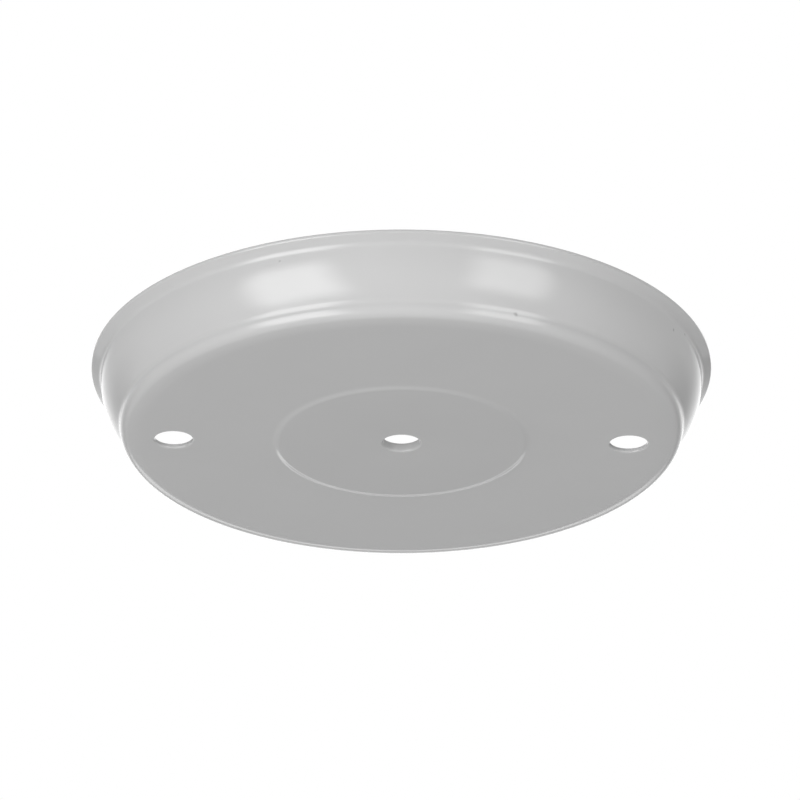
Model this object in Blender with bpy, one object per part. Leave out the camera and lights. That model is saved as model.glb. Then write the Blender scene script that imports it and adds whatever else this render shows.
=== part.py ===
"""Ceiling canopy of a light fixture, pressed from one steel sheet.

Metres, +Z up towards the ceiling. The origin is the middle of the raised centre disc, on
its show face, which looks down. The lip around the top lies against the ceiling.
"""

import math

import bmesh
import bpy

# Overall sizes
RIM_RADIUS = 0.0608
HEIGHT = 0.0156
SHEET = 0.0009

# Lip
LIP_WIDTH = 0.0009
LIP_BEND = 0.0010
LIP_EDGE_ROUND = 0.0003

# Wall, from the crease at its foot up to the lip
FOOT_INSET = 0.0058
FOOT_SLOPE = math.radians(42)
CREASE_BEND = 0.0018

# Corner at the edge of the face, eased where it leaves the flat
CORNER_BEND = 0.0013
EASE_BEND = 0.0111
EASE_TURN = math.radians(13)

# Raised centre disc
DISC_RADIUS = 0.0236
DISC_RISE = 0.0003
DISC_EDGE_BEND = 0.0021
DISC_ROOT_BEND = 0.0030

# Three like holes in a line, the middle one drawn into a collar
HOLE_RADIUS = 0.0037
HOLE_SPACING = 0.0889
HOLE_ROLL = 0.0004
HOLE_ROLL_TURN = math.radians(72)
COLLAR_HEIGHT = 0.0018
COLLAR_WALL = 0.0006
COLLAR_ROOT = 0.0003

# Facets, once round the part and along each bend of its section
SEGMENTS = 80
HOLE_SEGMENTS = 32
DISC_STEPS = 3
EASE_STEPS = 2
CORNER_STEPS = 4
CREASE_STEPS = 3
WALL_STEPS = 7
LIP_BEND_STEPS = 4
LIP_EDGE_STEPS = 2
COLLAR_ROOT_STEPS = 2
HOLE_ROLL_STEPS = 3
SHARP_ANGLE = math.radians(32)
MERGE_DISTANCE = 0.000001

# How far a punch stands out of the sheet on each side
PUNCH_REACH = 0.0010

# Paint
PAINT_COLOUR = (0.58, 0.58, 0.58, 1.0)
PAINT_ROUGHNESS = 0.28

# Worked out from the sizes above
FOOT_RADIUS = RIM_RADIUS - FOOT_INSET
CORNER_RADIUS = CORNER_BEND + SHEET
EASE_OFFSET = EASE_BEND - CORNER_BEND
FACE_RADIUS = FOOT_RADIUS - CORNER_RADIUS - EASE_OFFSET * math.sin(EASE_TURN)
FACE_Z = DISC_RISE
LIP_UNDERSIDE = HEIGHT - SHEET


def arc(centre, radius, start, end, steps):
    """Points (r, z) on an arc; an angle of 0 points outwards and a quarter turn points up."""
    points = []
    for i in range(steps + 1):
        angle = start + (end - start) * i / steps
        points.append((centre[0] + radius * math.cos(angle), centre[1] + radius * math.sin(angle)))
    return points


def bend(centre, hollow_radius, start, end, steps):
    """The two skins of a bend in the sheet: the hollow side, and the side one sheet away."""
    hollow = arc(centre, hollow_radius, start, end, steps)
    crown = arc(centre, hollow_radius + SHEET, start, end, steps)
    return hollow, crown


def disc_step():
    """The S-shaped step from the disc's face up to the flat face, as (show side, back side)."""
    turn = math.acos(1 - DISC_RISE / (DISC_EDGE_BEND + SHEET + DISC_ROOT_BEND))
    down = -math.pi / 2
    edge_radius = DISC_EDGE_BEND + SHEET
    edge_centre = (DISC_RADIUS, edge_radius)
    root_centre = (
        DISC_RADIUS + (edge_radius + DISC_ROOT_BEND) * math.sin(turn),
        FACE_Z - DISC_ROOT_BEND,
    )
    up = math.pi / 2
    edge_back, edge_show = bend(edge_centre, DISC_EDGE_BEND, down, down + turn, DISC_STEPS)
    root_show, root_back = bend(root_centre, DISC_ROOT_BEND, up + turn, up, DISC_STEPS)
    return edge_show + root_show[1:], edge_back + root_back[1:]


def wall():
    """Face corner, crease, bowed wall and lip bend, as (show side, back side).

    The corner eases out of the flat face, turns upright, and runs on into the crease. The
    wall is one arc. It leaves the crease at FOOT_SLOPE from the vertical and meets the lip
    bend at a tangent, which fixes its radius and its centre.
    """
    down = -math.pi / 2
    ease_centre = (FACE_RADIUS, FACE_Z + SHEET + EASE_BEND)
    corner_centre = (
        FOOT_RADIUS - CORNER_RADIUS,
        ease_centre[1] - EASE_OFFSET * math.cos(EASE_TURN),
    )
    crease_centre = (FOOT_RADIUS + CREASE_BEND, corner_centre[1])
    lip_centre = (RIM_RADIUS - LIP_WIDTH, LIP_UNDERSIDE - LIP_BEND)

    foot_normal = (math.cos(FOOT_SLOPE), -math.sin(FOOT_SLOPE))
    foot = (
        crease_centre[0] - CREASE_BEND * foot_normal[0],
        crease_centre[1] - CREASE_BEND * foot_normal[1],
    )
    reach = (foot[0] - lip_centre[0], foot[1] - lip_centre[1])
    along = reach[0] * foot_normal[0] + reach[1] * foot_normal[1]
    wall_radius = (reach[0] ** 2 + reach[1] ** 2 - LIP_BEND**2) / (2 * (along + LIP_BEND))
    wall_centre = (
        foot[0] - wall_radius * foot_normal[0],
        foot[1] - wall_radius * foot_normal[1],
    )
    top_angle = math.atan2(lip_centre[1] - wall_centre[1], lip_centre[0] - wall_centre[0])

    corner_start = down + EASE_TURN
    ease_back, ease_show = bend(ease_centre, EASE_BEND, down, corner_start, EASE_STEPS)
    corner_back, corner_show = bend(corner_centre, CORNER_BEND, corner_start, 0, CORNER_STEPS)
    crease_end = math.pi - FOOT_SLOPE
    crease_show, crease_back = bend(crease_centre, CREASE_BEND, math.pi, crease_end, CREASE_STEPS)
    hollow_radius = wall_radius - SHEET
    wall_back, wall_show = bend(wall_centre, hollow_radius, -FOOT_SLOPE, top_angle, WALL_STEPS)
    lip_start = math.pi + top_angle
    lip_show, lip_back = bend(lip_centre, LIP_BEND, lip_start, math.pi / 2, LIP_BEND_STEPS)
    show = ease_show + corner_show[1:] + crease_show[1:] + wall_show[1:] + lip_show[1:]
    back = ease_back + corner_back[1:] + crease_back[1:] + wall_back[1:] + lip_back[1:]
    return show, back


def lip_edge():
    """The rounded cut edge of the lip, from its underside round to its top."""
    round_r = RIM_RADIUS - LIP_EDGE_ROUND
    lower_centre = (round_r, LIP_UNDERSIDE + LIP_EDGE_ROUND)
    upper_centre = (round_r, HEIGHT - LIP_EDGE_ROUND)
    lower = arc(lower_centre, LIP_EDGE_ROUND, -math.pi / 2, 0, LIP_EDGE_STEPS)
    upper = arc(upper_centre, LIP_EDGE_ROUND, 0, math.pi / 2, LIP_EDGE_STEPS)
    return lower + upper


def collar():
    """The drawn collar of the middle hole, from its root on the back round to the show face."""
    outer = HOLE_RADIUS + COLLAR_WALL
    root_centre = (outer + COLLAR_ROOT, SHEET + COLLAR_ROOT)
    roll_centre = (HOLE_RADIUS + HOLE_ROLL, HOLE_ROLL)
    root = arc(root_centre, COLLAR_ROOT, -math.pi / 2, -math.pi, COLLAR_ROOT_STEPS)
    top = [(outer, COLLAR_HEIGHT), (HOLE_RADIUS, COLLAR_HEIGHT)]
    roll = arc(roll_centre, HOLE_ROLL, math.pi, 1.5 * math.pi, HOLE_ROLL_STEPS)
    return root + top + roll


def spun(name, profile, segments):
    """A mesh made by turning a profile of (r, z) points once around Z.

    A profile that starts on the axis ends there too. Any other profile is a closed loop.
    """
    mesh = bpy.data.meshes.new(name)
    shape = bmesh.new()
    corners = [shape.verts.new((r, 0, z)) for r, z in profile]
    edges = [shape.edges.new(pair) for pair in zip(corners, corners[1:])]
    if profile[0][0] > 0:
        edges.append(shape.edges.new((corners[-1], corners[0])))
    bmesh.ops.spin(
        shape,
        geom=corners + edges,
        cent=(0, 0, 0),
        axis=(0, 0, 1),
        angle=2 * math.pi,
        steps=segments,
        use_merge=True,
    )
    bmesh.ops.remove_doubles(shape, verts=shape.verts, dist=MERGE_DISTANCE)
    bmesh.ops.recalc_face_normals(shape, faces=shape.faces)
    shape.to_mesh(mesh)
    shape.free()
    return mesh


def paint():
    """White gloss enamel, baked on the pressing."""
    material = bpy.data.materials.new("gloss_enamel")
    material.use_nodes = True
    shader = material.node_tree.nodes["Principled BSDF"]
    shader.inputs["Base Color"].default_value = PAINT_COLOUR
    shader.inputs["Roughness"].default_value = PAINT_ROUGHNESS
    shader.inputs["Metallic"].default_value = 0.0
    return material


def canopy():
    """The pressing: its section turned around Z."""
    step_show, step_back = disc_step()
    wall_show, wall_back = wall()
    show_side = step_show + wall_show + lip_edge()
    back_side = list(reversed(step_back + wall_back))
    profile = show_side + back_side + collar()
    mesh = spun("canopy", profile, SEGMENTS)
    mesh.shade_smooth()
    mesh.set_sharp_from_angle(angle=SHARP_ANGLE)
    part = bpy.data.objects.new("canopy", mesh)
    bpy.context.scene.collection.objects.link(part)
    part.data.materials.append(paint())
    return part


def side_hole_cutter(name, x):
    """A punch for a side hole, flared where the sheet rolls into the hole on the show side.

    It stands half a facet round, so that none of its corners meets an edge of the pressing.
    """
    low = FACE_Z - PUNCH_REACH
    high = FACE_Z + SHEET + PUNCH_REACH
    flare_centre = (HOLE_RADIUS + HOLE_ROLL, FACE_Z + HOLE_ROLL)
    flare = arc(flare_centre, HOLE_ROLL, math.pi + HOLE_ROLL_TURN, math.pi, HOLE_ROLL_STEPS)
    drop = flare[0][1] - low
    mouth = flare[0][0] + drop * math.tan(HOLE_ROLL_TURN)
    profile = [(0, low), (mouth, low)] + flare + [(HOLE_RADIUS, high), (0, high)]
    cutter = bpy.data.objects.new(name, spun(name, profile, HOLE_SEGMENTS))
    cutter.location = (x, 0, 0)
    cutter.rotation_euler = (0, 0, math.pi / HOLE_SEGMENTS)
    cutter.hide_render = True
    cutter.display_type = "WIRE"
    bpy.context.scene.collection.objects.link(cutter)
    return cutter


def punch(part, cutter):
    """Cuts a hole in the pressing with a Boolean that stays live."""
    cut = part.modifiers.new(cutter.name, "BOOLEAN")
    cut.operation = "DIFFERENCE"
    cut.solver = "EXACT"
    cut.object = cutter


for old in list(bpy.data.objects):
    bpy.data.objects.remove(old, do_unlink=True)

pressing = canopy()
punch(pressing, side_hole_cutter("left_hole_punch", -HOLE_SPACING / 2))
punch(pressing, side_hole_cutter("right_hole_punch", HOLE_SPACING / 2))
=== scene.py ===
"""Ceiling canopy of a light fixture: one pressing in gloss enamel, and a plain studio.

Metres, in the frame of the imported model: +Z up towards the ceiling, and the origin in the
middle of the raised centre disc, on its show face.
"""

import math

import bmesh
import bpy
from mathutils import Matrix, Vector


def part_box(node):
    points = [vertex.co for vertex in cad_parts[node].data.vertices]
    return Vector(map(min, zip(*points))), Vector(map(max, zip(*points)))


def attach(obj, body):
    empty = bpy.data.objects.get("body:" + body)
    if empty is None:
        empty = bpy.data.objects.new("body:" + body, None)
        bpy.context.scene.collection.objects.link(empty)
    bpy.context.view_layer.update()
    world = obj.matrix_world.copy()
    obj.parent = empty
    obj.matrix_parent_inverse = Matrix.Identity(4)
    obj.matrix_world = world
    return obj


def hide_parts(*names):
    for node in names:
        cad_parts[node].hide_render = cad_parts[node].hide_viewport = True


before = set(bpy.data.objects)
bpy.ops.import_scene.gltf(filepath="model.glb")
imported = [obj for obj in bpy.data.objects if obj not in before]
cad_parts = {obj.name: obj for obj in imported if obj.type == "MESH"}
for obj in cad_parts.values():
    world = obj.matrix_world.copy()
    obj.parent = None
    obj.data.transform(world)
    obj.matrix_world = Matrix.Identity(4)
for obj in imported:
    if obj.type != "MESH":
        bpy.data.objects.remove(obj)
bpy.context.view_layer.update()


# Canopy
# The cover of a ceiling box: one round blank of 0.9 mm sheet steel, drawn between two dies,
# pierced and enamelled. Its section is followed here as a line through every bend, on the
# show side and one sheet away on the back, and the line is turned round the axis.

_, high_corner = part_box("canopy")
RIM_RADIUS = high_corner.x
HEIGHT = high_corner.z
SHEET = 0.0009

# Lip: the bend is the one on the back, and the sweep, the flare and the nose are what shows
LIP_WIDTH = 0.0009
LIP_BEND = 0.0010
LIP_SWEEP = 0.0014
LIP_FLARE = math.radians(55)
LIP_NOSE = 0.0004
LIP_EDGE_ROUND = 0.0003

# Wall, the crease at its foot, and the corner that eases out of the face
FOOT_INSET = 0.0058
FOOT_SLOPE = math.radians(42)
CREASE_BEND = 0.0018
CORNER_BEND = 0.0013
EASE_BEND = 0.0111
EASE_TURN = math.radians(13)

# Raised centre disc
DISC_RADIUS = 0.0236
DISC_RISE = 0.0003
DISC_EDGE_BEND = 0.0021
DISC_ROOT_BEND = 0.0030

# Three like holes in a line, the middle one drawn into a collar
HOLE_RADIUS = 0.0037
HOLE_SPACING = 0.0889
HOLE_ROLL = 0.0004
COLLAR_HEIGHT = 0.0018
COLLAR_WALL = 0.0006
COLLAR_ROOT = 0.0003
CUT_EDGE_ROUND = 0.00012

# Worked out from the sizes above
FACE_Z = DISC_RISE
FOOT_RADIUS = RIM_RADIUS - FOOT_INSET
CORNER_RADIUS = CORNER_BEND + SHEET
EASE_OFFSET = EASE_BEND - CORNER_BEND
FACE_RADIUS = FOOT_RADIUS - CORNER_RADIUS - EASE_OFFSET * math.sin(EASE_TURN)
LIP_UNDERSIDE = HEIGHT - SHEET

# Facets along the section and once round, and the turned margin around the filled flat face
STEP_TURN = math.radians(6)
LEAST_STEPS = 2
EASE_STEPS = 6
WALL_STEPS = 16
RIM_SEGMENTS = 240
HOLE_SEGMENTS = 96
FLAT_MARGIN = 0.0006
MERGE_DISTANCE = 0.000001

# Ways that an arc starts and ends, seen from its centre
QUARTER_TURN = math.pi / 2
UP = QUARTER_TURN
DOWN = -QUARTER_TURN
INWARDS = math.pi


def arc(centre, radius, start, end, steps=None):
    """Points (r, z) on an arc; an angle of 0 points outwards and a quarter turn points up."""
    steps = steps or max(LEAST_STEPS, math.ceil(abs(end - start) / STEP_TURN))
    points = []
    for i in range(steps + 1):
        angle = start + (end - start) * i / steps
        points.append((centre[0] + radius * math.cos(angle), centre[1] + radius * math.sin(angle)))
    return points


def bend(centre, hollow_radius, start, end, steps=None):
    """The two skins of a bend in the sheet: the hollow side, and the side one sheet away."""
    hollow = arc(centre, hollow_radius, start, end, steps)
    crown = arc(centre, hollow_radius + SHEET, start, end, steps)
    return hollow, crown


def disc_step():
    """The S-shaped step from the disc's face up to the flat face, as (show side, back side)."""
    turn = math.acos(1 - DISC_RISE / (DISC_EDGE_BEND + SHEET + DISC_ROOT_BEND))
    edge_radius = DISC_EDGE_BEND + SHEET
    root_centre = (
        DISC_RADIUS + (edge_radius + DISC_ROOT_BEND) * math.sin(turn),
        FACE_Z - DISC_ROOT_BEND,
    )
    edge_back, edge_show = bend((DISC_RADIUS, edge_radius), DISC_EDGE_BEND, DOWN, DOWN + turn)
    root_show, root_back = bend(root_centre, DISC_ROOT_BEND, UP + turn, UP)
    return edge_show + root_show[1:], edge_back + root_back[1:]


def lip_show_side(wall_centre, wall_radius):
    """The lip as it shows: a hollow sweep off the wall, a flare and a rounded nose.

    It gives the angle at which the sweep leaves the wall's arc at a tangent, and the points.
    """
    outwards = (math.cos(LIP_FLARE), -math.sin(LIP_FLARE))
    nose_centre = (RIM_RADIUS - LIP_NOSE, LIP_UNDERSIDE + LIP_NOSE)
    nose = arc(nose_centre, LIP_NOSE, -LIP_FLARE, 0)
    reach = (nose[0][0] - wall_centre[0], nose[0][1] - wall_centre[1])
    along = reach[0] * outwards[0] + reach[1] * outwards[1]
    span = wall_radius + LIP_SWEEP
    leave = math.acos((along + LIP_SWEEP) / span) - LIP_FLARE
    sweep_centre = (
        wall_centre[0] + span * math.cos(leave),
        wall_centre[1] + span * math.sin(leave),
    )
    sweep = arc(sweep_centre, LIP_SWEEP, INWARDS + leave, INWARDS - LIP_FLARE)
    return leave, sweep + nose


def wall():
    """Face corner, crease, bowed wall and lip, as (show side, back side).

    The corner eases out of the flat face, turns upright, and runs on into the crease. The
    wall is one arc, which leaves the crease at FOOT_SLOPE from the vertical. Its radius and
    its centre are fixed by the lip's bend, which its back meets at a tangent. On the show
    side the lip's sweep leaves it, at a tangent too.
    """
    ease_centre = (FACE_RADIUS, FACE_Z + SHEET + EASE_BEND)
    corner_centre = (
        FOOT_RADIUS - CORNER_RADIUS,
        ease_centre[1] - EASE_OFFSET * math.cos(EASE_TURN),
    )
    crease_centre = (FOOT_RADIUS + CREASE_BEND, corner_centre[1])
    lip_centre = (RIM_RADIUS - LIP_WIDTH, LIP_UNDERSIDE - LIP_BEND)
    edge_centre = (RIM_RADIUS - LIP_EDGE_ROUND, HEIGHT - LIP_EDGE_ROUND)

    foot_normal = (math.cos(FOOT_SLOPE), -math.sin(FOOT_SLOPE))
    foot = (
        crease_centre[0] - CREASE_BEND * foot_normal[0],
        crease_centre[1] - CREASE_BEND * foot_normal[1],
    )
    reach = (foot[0] - lip_centre[0], foot[1] - lip_centre[1])
    along = reach[0] * foot_normal[0] + reach[1] * foot_normal[1]
    wall_radius = (reach[0] ** 2 + reach[1] ** 2 - LIP_BEND**2) / (2 * (along + LIP_BEND))
    wall_centre = (
        foot[0] - wall_radius * foot_normal[0],
        foot[1] - wall_radius * foot_normal[1],
    )
    top_angle = math.atan2(lip_centre[1] - wall_centre[1], lip_centre[0] - wall_centre[0])

    ease_back, ease_show = bend(ease_centre, EASE_BEND, DOWN, DOWN + EASE_TURN, EASE_STEPS)
    corner_back, corner_show = bend(corner_centre, CORNER_BEND, DOWN + EASE_TURN, 0)
    crease_show, crease_back = bend(crease_centre, CREASE_BEND, INWARDS, INWARDS - FOOT_SLOPE)
    leave, lip_show = lip_show_side(wall_centre, wall_radius)
    wall_show = arc(wall_centre, wall_radius, -FOOT_SLOPE, leave, WALL_STEPS)
    wall_back = arc(wall_centre, wall_radius - SHEET, -FOOT_SLOPE, top_angle, WALL_STEPS)
    lip_back = arc(lip_centre, LIP_BEND + SHEET, INWARDS + top_angle, UP)
    edge = arc(edge_centre, LIP_EDGE_ROUND, 0, UP)
    show = ease_show + corner_show[1:] + crease_show[1:] + wall_show[1:] + lip_show[1:] + edge
    back = ease_back + corner_back[1:] + crease_back[1:] + wall_back[1:] + lip_back[1:]
    return show, back


def cut_edge(r, z):
    """The painted-over edge where the bore of a hole meets a flat top, from the top inwards."""
    return arc((r + CUT_EDGE_ROUND, z - CUT_EDGE_ROUND), CUT_EDGE_ROUND, UP, INWARDS)


def hole_roll(face_z):
    """Where the sheet rolls into a hole on the show side, from the bore down to the face."""
    centre = (HOLE_RADIUS + HOLE_ROLL, face_z + HOLE_ROLL)
    return arc(centre, HOLE_ROLL, INWARDS, INWARDS + QUARTER_TURN)


def collar():
    """The drawn collar of the middle hole, from its root on the back round to the show face."""
    outer = HOLE_RADIUS + COLLAR_WALL
    root_centre = (outer + COLLAR_ROOT, SHEET + COLLAR_ROOT)
    root = arc(root_centre, COLLAR_ROOT, DOWN, -INWARDS)
    outer_centre = (outer - CUT_EDGE_ROUND, COLLAR_HEIGHT - CUT_EDGE_ROUND)
    outer_edge = arc(outer_centre, CUT_EDGE_ROUND, 0, UP)
    return root + outer_edge + cut_edge(HOLE_RADIUS, COLLAR_HEIGHT) + hole_roll(0)


def side_hole():
    """A plain side hole, from its margin on the back through the bore to that on the show side."""
    edge = cut_edge(HOLE_RADIUS, FACE_Z + SHEET)
    roll = hole_roll(FACE_Z)
    margin_back = (edge[0][0] + FLAT_MARGIN, FACE_Z + SHEET)
    margin_show = (roll[-1][0] + FLAT_MARGIN, FACE_Z)
    return [margin_back] + edge + roll + [margin_show]


def turn_line(shape, line, x=0.0, segments=RIM_SEGMENTS):
    """Turns an open line of (r, z) points once round the upright axis at x.

    It gives the edges of the rings at the line's two ends.
    """
    rings = []
    for i in range(segments):
        angle = 2 * math.pi * i / segments
        cosine, sine = math.cos(angle), math.sin(angle)
        rings.append([shape.verts.new((x + r * cosine, r * sine, z)) for r, z in line])
    neighbours = list(zip(rings, rings[1:] + rings[:1]))
    for ring, following in neighbours:
        for j in range(len(line) - 1):
            shape.faces.new((ring[j], following[j], following[j + 1], ring[j + 1]))
    ends = []
    for j in (0, len(line) - 1):
        ends.append([shape.edges.get((ring[j], following[j])) for ring, following in neighbours])
    return ends


def pressing_mesh():
    """The whole pressing: centre, rim and side holes are turned, and the flat face is filled."""
    step_show, step_back = disc_step()
    wall_show, wall_back = wall()
    show_inner = (step_show[-1][0] + FLAT_MARGIN, FACE_Z)
    back_inner = (show_inner[0], FACE_Z + SHEET)
    show_outer = (FACE_RADIUS - FLAT_MARGIN, FACE_Z)
    back_outer = (show_outer[0], FACE_Z + SHEET)
    centre_line = [back_inner] + step_back[::-1] + collar() + step_show + [show_inner]
    rim_line = [show_outer] + wall_show + wall_back[::-1] + [back_outer]

    shape = bmesh.new()
    centre_back, centre_show = turn_line(shape, centre_line)
    rim_show, rim_back = turn_line(shape, rim_line)
    show_side = centre_show + rim_show
    back_side = centre_back + rim_back
    for x in (-HOLE_SPACING / 2, HOLE_SPACING / 2):
        hole_back, hole_show = turn_line(shape, side_hole(), x, HOLE_SEGMENTS)
        show_side += hole_show
        back_side += hole_back
    for side in (show_side, back_side):
        bmesh.ops.triangle_fill(shape, use_beauty=True, use_dissolve=False, edges=side)
    bmesh.ops.remove_doubles(shape, verts=shape.verts, dist=MERGE_DISTANCE)
    bmesh.ops.recalc_face_normals(shape, faces=shape.faces)
    mesh = bpy.data.meshes.new("pressing")
    shape.to_mesh(mesh)
    shape.free()
    mesh.shade_smooth()
    return mesh


# White gloss stoving enamel, sprayed on the pressing and baked. It levels to a smooth film
# with a faint orange peel, over the fine rings that the draw leaves in the sheet. The disc is
# a shade darker than the face around it, and a few grains of dust are caught in the film.

# The white is as grey as the photograph shows it
ENAMEL_WHITE = "#C6C6C6"
ENAMEL_SHADE = "#C2C2C2"
ENAMEL_IOR = 1.5
SMOOTHEST = 0.055
ROUGHEST = 0.095
DISC_TONE = 0.965
DISC_FADE = 0.0016

# How wide and how high the orange peel, the slow waves under it and the draw's rings are
MM = 0.001
PEEL_MM = 1.6
PEEL_HEIGHT_MM = 0.0012
WAVE_MM = 18.0
WAVE_HEIGHT_MM = 0.010
RINGS_MM = 0.7
RINGS_HEIGHT_MM = 0.0040

# Grains of dust
GRAIN_HEIGHT_MM = 0.07
GRAIN_TONE = 0.76
GRAINS = [
    # degrees to the right of the front, mm above the origin, mm across
    (-24.1, 12.1, 0.8),
    (21.6, 2.75, 1.3),
    (26.2, 14.3, 0.8),
    (61.3, 11.3, 1.0),
    (66.7, 12.8, 0.8),
]

# A noise texture's value lies between these nearly everywhere
NOISE_LOW = 0.3
NOISE_HIGH = 0.7


def linear(hex_colour):
    """A colour written as sRGB hex, as the linear values that a shader takes."""
    values = []
    for i in (1, 3, 5):
        value = int(hex_colour[i:i + 2], 16) / 255
        values.append(value / 12.92 if value <= 0.04045 else ((value + 0.055) / 1.055) ** 2.4)
    return (*values, 1.0)


def add(tree, kind, inputs=None, **settings):
    """Adds a node, sets its settings, and sets or links its inputs."""
    made = tree.nodes.new(kind)
    for name, value in settings.items():
        setattr(made, name, value)
    for name, value in (inputs or {}).items():
        if isinstance(value, bpy.types.NodeSocket):
            tree.links.new(value, made.inputs[name])
        else:
            made.inputs[name].default_value = value
    return made


def grain_cover(tree, place):
    """1 in the middle of each grain of dust, falling to 0 at its edge."""
    show_side, _ = wall()
    cover = 0.0
    for degrees, height, width in GRAINS:
        angle = math.radians(degrees)
        r, _ = min(show_side, key=lambda point: abs(point[1] - height * MM))
        centre = (r * math.sin(angle), -r * math.cos(angle), height * MM)
        away = add(tree, "ShaderNodeVectorMath", {0: place, 1: centre}, operation="DISTANCE")
        grain = add(
            tree,
            "ShaderNodeMapRange",
            {"Value": away.outputs["Value"], "From Max": width * MM / 2, "To Min": 1, "To Max": 0},
            interpolation_type="SMOOTHSTEP",
        )
        both = {0: cover, 1: grain.outputs["Result"]}
        cover = add(tree, "ShaderNodeMath", both, operation="MAXIMUM").outputs[0]
    return cover


def film_relief(tree, layers):
    """The normal of the film, with a relief of its own height in mm for each layer."""
    under = {}
    for height, height_mm in layers:
        inputs = {"Height": height, "Distance": height_mm * MM, **under}
        under = {"Normal": add(tree, "ShaderNodeBump", inputs).outputs["Normal"]}
    return under["Normal"]


def enamel_material():
    """Stoved gloss enamel: to the eye, a hard and even reflection over a soft grey-white body."""
    material = bpy.data.materials.new("gloss_enamel")
    material.use_nodes = True
    tree = material.node_tree
    shader = tree.nodes["Principled BSDF"]
    shader.inputs["IOR"].default_value = ENAMEL_IOR

    place = add(tree, "ShaderNodeTexCoord").outputs["Object"]
    axes = add(tree, "ShaderNodeSeparateXYZ", {"Vector": place}).outputs
    level = add(tree, "ShaderNodeCombineXYZ", {"X": axes["X"], "Y": axes["Y"]})
    length = add(tree, "ShaderNodeVectorMath", {0: level.outputs[0]}, operation="LENGTH")
    radius = length.outputs["Value"]
    section = add(tree, "ShaderNodeCombineXYZ", {"X": radius, "Z": axes["Z"]}).outputs[0]

    noises = []
    for spot, width_mm in ((place, WAVE_MM), (place, PEEL_MM), (section, RINGS_MM)):
        scale = 1 / (width_mm * MM)
        noise = add(tree, "ShaderNodeTexNoise", {"Vector": spot, "Scale": scale})
        noises.append(noise.outputs["Fac"])
    waves, peel, rings = noises
    grains = grain_cover(tree, place)

    colour = add(
        tree,
        "ShaderNodeMix",
        {"Factor": waves, "A": linear(ENAMEL_WHITE), "B": linear(ENAMEL_SHADE)},
        data_type="RGBA",
    ).outputs["Result"]
    disc_end = DISC_RADIUS + DISC_FADE
    disc_tone = add(
        tree,
        "ShaderNodeMapRange",
        {"Value": radius, "From Min": DISC_RADIUS, "From Max": disc_end, "To Min": DISC_TONE},
        interpolation_type="SMOOTHSTEP",
    ).outputs["Result"]
    grain_tone = add(
        tree,
        "ShaderNodeMapRange",
        {"Value": grains, "To Min": 1, "To Max": GRAIN_TONE},
        interpolation_type="SMOOTHSTEP",
    ).outputs["Result"]
    tone = add(tree, "ShaderNodeMath", {0: disc_tone, 1: grain_tone}, operation="MULTIPLY")
    toned = add(
        tree, "ShaderNodeVectorMath", {0: colour, "Scale": tone.outputs[0]}, operation="SCALE"
    )
    roughness = add(
        tree,
        "ShaderNodeMapRange",
        {
            "Value": waves,
            "From Min": NOISE_LOW,
            "From Max": NOISE_HIGH,
            "To Min": SMOOTHEST,
            "To Max": ROUGHEST,
        },
        interpolation_type="SMOOTHSTEP",
    ).outputs["Result"]
    relief = film_relief(tree, (
        (waves, WAVE_HEIGHT_MM),
        (rings, RINGS_HEIGHT_MM),
        (peel, PEEL_HEIGHT_MM),
        (grains, GRAIN_HEIGHT_MM),
    ))

    tree.links.new(toned.outputs["Vector"], shader.inputs["Base Color"])
    tree.links.new(roughness, shader.inputs["Roughness"])
    tree.links.new(relief, shader.inputs["Normal"])
    return material


pressing = bpy.data.objects.new("canopy_pressing", pressing_mesh())
bpy.context.scene.collection.objects.link(pressing)
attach(pressing, "root")
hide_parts("canopy")

enamel = enamel_material()
pressing.data.materials.append(enamel)

# The plain solid that the pressing stands for is hidden, and takes the same enamel
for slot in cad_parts["canopy"].material_slots:
    slot.material = enamel


# Camera
# A long lens a bit over a metre away and below, looking up at the show side, turned a
# little towards the left hole.

CAMERA_DISTANCE = 1.150
CAMERA_BELOW = math.radians(25.4)
CAMERA_LEFT = math.radians(1.3)
CAMERA_AIM = Vector((-0.00027, 0, 0.00945))
LENS_MM = 265
SENSOR_MM = 36
CLIP_NEAR = 0.01
CLIP_FAR = 30


def way_out(right, below):
    """The way out from the part, at angles to the right of its front and below it."""
    return Vector((
        math.sin(right) * math.cos(below),
        -math.cos(right) * math.cos(below),
        -math.sin(below),
    ))


def set_up(thing, spot, aim):
    """Puts a camera or a light at a spot in the scene and turns it to a point."""
    thing.location = spot
    thing.rotation_euler = (aim - spot).to_track_quat("-Z", "Y").to_euler()
    bpy.context.scene.collection.objects.link(thing)


camera_data = bpy.data.cameras.new("camera")
camera_data.lens = LENS_MM
camera_data.sensor_width = SENSOR_MM
camera_data.clip_start = CLIP_NEAR
camera_data.clip_end = CLIP_FAR
camera = bpy.data.objects.new("camera", camera_data)
camera_spot = Vector((0, 0, FACE_Z)) + way_out(-CAMERA_LEFT, CAMERA_BELOW) * CAMERA_DISTANCE
set_up(camera, camera_spot, CAMERA_AIM)
bpy.context.scene.camera = camera


# Studio
# Two softboxes stand left and right of the camera, and a third one and a low strip behind the
# part, all with soft rims. The floor is far below, so that it never comes between the camera
# and the part. All around is white, and the gloss mirrors it darker low down behind the part.

FLOOR_Z = -1.8
FLOOR_SIZE = 14
FLOOR_COLOUR = "#F0F0F0"
FLOOR_ROUGHNESS = 0.9
LIGHT_COLOUR = "#FFFFFF"

# Levels of the white around: as the camera sees it, as light, and as the gloss mirrors it
WHITE = 1.0
AMBIENT = 0.210
FLOOR_LIGHT = 0.222
GLOSS = 0.58
GLOSS_BEHIND = 0.15

# Where the gloss mirrors it darker: how far the ray points back, and how far up
BEHIND_FROM = 0.30
BEHIND_FULL = 0.75
DARK_BELOW = -0.05
LIGHT_ABOVE = 0.25

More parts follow.
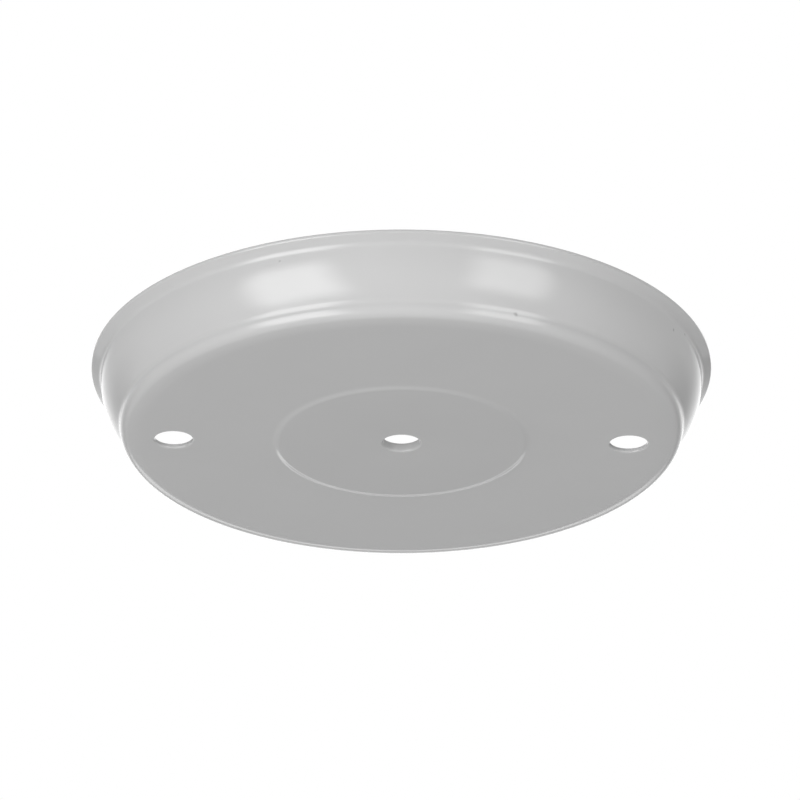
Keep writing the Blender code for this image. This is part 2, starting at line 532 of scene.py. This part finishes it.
# Softboxes, and the middle of a diffuser's side, along which the places go from 0 to 1
SOFTBOX_DISTANCE = 1.0
HALF_WAY = 0.5
SOFTBOXES = {
    # name: degrees to the right of the camera, degrees below, width, height, soft rim, watts
    "left_softbox": (-41, 17, 0.84, 1.45, 0.65, 16.4),
    "right_softbox": (40, 6, 0.74, 1.35, 0.65, 9.9),
    "back_softbox": (180, -14, 1.90, 1.30, 0.90, 10.0),
    "low_back_strip": (-177, 14, 0.76, 0.15, 0.50, 0.48),
}


def level_seen(tree, ambient, gloss, direct):
    """The level for diffuse light, for what gloss mirrors, and for what the camera sees."""
    path = add(tree, "ShaderNodeLightPath")
    mirrored = add(
        tree,
        "ShaderNodeMix",
        {"Factor": path.outputs["Is Glossy Ray"], "A": ambient, "B": gloss},
        data_type="FLOAT",
    )
    seen = add(
        tree,
        "ShaderNodeMath",
        {0: path.outputs["Is Camera Ray"], 1: path.outputs["Is Transmission Ray"]},
        operation="MAXIMUM",
    )
    level = add(
        tree,
        "ShaderNodeMix",
        {"Factor": seen.outputs[0], "A": mirrored.outputs["Result"], "B": direct},
        data_type="FLOAT",
    )
    return level.outputs["Result"]


def white_surroundings():
    """A world that is white to the camera and a plain level of light to the part."""
    world = bpy.data.worlds.new("studio")
    world.use_nodes = True
    tree = world.node_tree
    ray = add(tree, "ShaderNodeTexCoord").outputs["Generated"]
    towards = add(tree, "ShaderNodeSeparateXYZ", {"Vector": ray}).outputs
    low_behind = add(
        tree,
        "ShaderNodeMapRange",
        {
            "Value": towards["Z"],
            "From Min": DARK_BELOW,
            "From Max": LIGHT_ABOVE,
            "To Min": GLOSS_BEHIND,
            "To Max": GLOSS,
        },
        interpolation_type="SMOOTHSTEP",
    ).outputs["Result"]
    mirrored = add(
        tree,
        "ShaderNodeMapRange",
        {
            "Value": towards["Y"],
            "From Min": BEHIND_FROM,
            "From Max": BEHIND_FULL,
            "To Min": GLOSS,
            "To Max": low_behind,
        },
        interpolation_type="SMOOTHSTEP",
    ).outputs["Result"]
    background = tree.nodes["Background"]
    background.inputs["Color"].default_value = linear(LIGHT_COLOUR)
    level = level_seen(tree, AMBIENT, mirrored, WHITE)
    tree.links.new(level, background.inputs["Strength"])
    return world


def painted_board():
    """Board painted matt white: to the eye, an even pale ground without a reflection.

    The lamps and the world light it to about AMBIENT, and its glow adds the rest.
    """
    material = bpy.data.materials.new("painted_board")
    material.use_nodes = True
    tree = material.node_tree
    shader = tree.nodes["Principled BSDF"]
    shader.inputs["Base Color"].default_value = linear(FLOOR_COLOUR)
    shader.inputs["Roughness"].default_value = FLOOR_ROUGHNESS
    shader.inputs["Emission Color"].default_value = linear(LIGHT_COLOUR)
    glow = level_seen(tree, FLOOR_LIGHT, GLOSS - AMBIENT, WHITE - AMBIENT)
    tree.links.new(glow, shader.inputs["Emission Strength"])
    return material


def floor_mesh():
    """One square board."""
    mesh = bpy.data.meshes.new("floor")
    half = FLOOR_SIZE / 2
    corners = [(-half, -half, 0), (half, -half, 0), (half, half, 0), (-half, half, 0)]
    mesh.from_pydata(corners, [], [(0, 1, 2, 3)])
    mesh.materials.append(painted_board())
    return mesh


def fall_off(tree, across, rim):
    """1 over the middle of a diffuser, falling to 0 at its edge, along one of its sides.

    The rim is the share of the way out to the edge over which it falls.
    """
    signed = add(tree, "ShaderNodeMath", {0: across, 1: HALF_WAY}, operation="SUBTRACT")
    way = add(tree, "ShaderNodeMath", {0: signed.outputs[0]}, operation="ABSOLUTE").outputs[0]
    rim_start = HALF_WAY * (1 - rim)
    glow = add(
        tree,
        "ShaderNodeMapRange",
        {"Value": way, "From Min": rim_start, "From Max": HALF_WAY, "To Min": 1, "To Max": 0},
        interpolation_type="SMOOTHSTEP",
    )
    return glow.outputs["Result"]


def diffuser(name, width, height, rim, watts):
    """The lit cloth of a softbox, brightest in the middle and fading out to its rim."""
    light = bpy.data.lights.new(name, "AREA")
    light.shape = "RECTANGLE"
    light.size = width
    light.size_y = height
    light.energy = watts
    light.use_nodes = True
    tree = light.node_tree
    place = add(tree, "ShaderNodeNewGeometry").outputs["Parametric"]
    sides = add(tree, "ShaderNodeSeparateXYZ", {"Vector": place}).outputs
    across = fall_off(tree, sides["X"], rim)
    upright = fall_off(tree, sides["Y"], rim)
    glow = add(tree, "ShaderNodeMath", {0: across, 1: upright}, operation="MULTIPLY")
    tree.links.new(glow.outputs[0], tree.nodes["Emission"].inputs["Strength"])
    return light


bpy.context.scene.world = white_surroundings()

floor = bpy.data.objects.new("floor", floor_mesh())
floor.location = (0, 0, FLOOR_Z)
bpy.context.scene.collection.objects.link(floor)

for name, (right, below, width, height, rim, watts) in SOFTBOXES.items():
    softbox = bpy.data.objects.new(name, diffuser(name, width, height, rim, watts))
    out = way_out(math.radians(right) - CAMERA_LEFT, math.radians(below))
    set_up(softbox, out * SOFTBOX_DISTANCE, Vector((0, 0, 0)))
    softbox.visible_camera = False

bpy.context.scene.view_settings.view_transform = "Standard"
